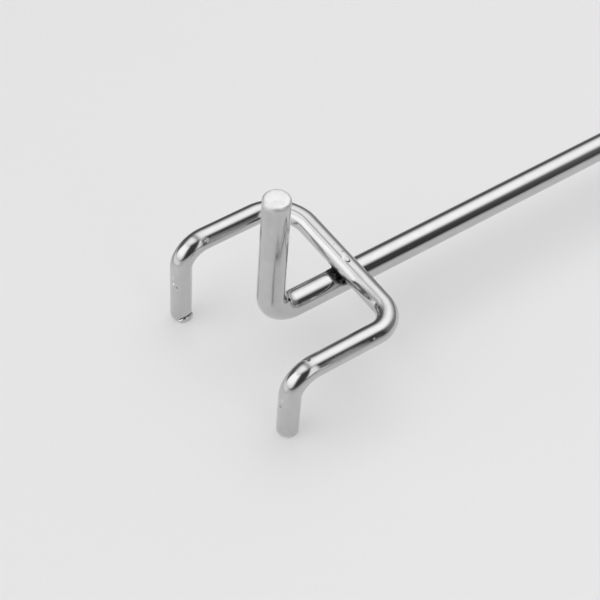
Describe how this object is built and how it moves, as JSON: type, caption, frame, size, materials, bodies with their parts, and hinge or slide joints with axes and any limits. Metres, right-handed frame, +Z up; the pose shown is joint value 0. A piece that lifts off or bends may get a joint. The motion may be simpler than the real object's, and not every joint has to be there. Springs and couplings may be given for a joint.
{
  "type": "slatwall hook",
  "caption": "All-wire display hook: straight arm with an upturned tip and a rear leg, welded across a flat U-shaped wire whose ends turn up as prongs behind the board.",
  "frame": {"origin": "in the board's front face, midway between the two prongs and level with the axes of the side runs that pass through the board", "axes": "+X out of the board along the arm, +Y to the right of someone facing the board, +Z up as the hook hangs in use"},
  "size_m": [0.1594, 0.0568, 0.0652],
  "materials": {
    "chrome_wire": "bright chrome plate on drawn steel wire"
  },
  "bodies": {
    "root": {"arm_wire": "chrome_wire", "back_wire": "chrome_wire", "weld": "chrome_wire"}
  },
  "joints": []
}
